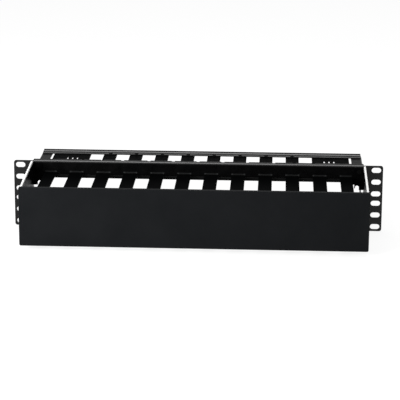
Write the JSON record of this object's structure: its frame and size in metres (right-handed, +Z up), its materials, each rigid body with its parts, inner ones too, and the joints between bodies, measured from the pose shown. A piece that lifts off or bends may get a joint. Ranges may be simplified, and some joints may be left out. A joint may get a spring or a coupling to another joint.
{
  "type": "horizontal cable manager",
  "caption": "Black steel rack panel with slotted ears, finger ducts in front and behind, pass-through openings, rear rails and a push-on flat front cover.",
  "frame": {"origin": "centre of the panel's back face, in the plane that meets the rack rails, midway between the mounting slots", "axes": "+X to the right along the panel as seen from the front, +Y to the rear through the panel, +Z up"},
  "size_m": [0.4826, 0.228, 0.0882],
  "materials": {
    "panel_paint": "satin black powder coat",
    "channel_paint": "satin black powder coat",
    "rail_paint": "satin black powder coat",
    "side_paint": "satin black powder coat",
    "cover_paint": "fine-textured satin black powder coat",
    "trim_white": "white flexible plastic",
    "socket_nylon": "moulded black nylon",
    "rivet_black": "black oxide steel",
    "stud_steel": "plain turned steel"
  },
  "bodies": {
    "manager": {"rack_panel": "panel_paint", "front_fingers_top": "channel_paint", "front_fingers_bottom": "channel_paint", "rear_fingers_top": "channel_paint", "rear_fingers_bottom": "channel_paint", "rear_rail_top": "rail_paint", "rear_rail_bottom": "rail_paint", "side_plate_right": "side_paint", "side_plate_left": "side_paint", "rear_bracket_right": "panel_paint", "rear_bracket_left": "panel_paint", "edge_trim_right_top": "trim_white", "edge_trim_left_top": "trim_white", "edge_trim_right_bottom": "trim_white", "edge_trim_left_bottom": "trim_white", "stud_socket_right_top": "socket_nylon", "stud_socket_left_top": "socket_nylon", "stud_socket_right_bottom": "socket_nylon", "stud_socket_left_bottom": "socket_nylon", "end_rivets": "rivet_black"},
    "cover": {"front_cover": "cover_paint", "cover_studs": "stud_steel"}
  },
  "joints": [
    {"name": "cover_pull", "type": "slide", "parent": "manager", "child": "cover", "axis": [0, -1, 0], "range_m": [0, 0.06]}
  ]
}
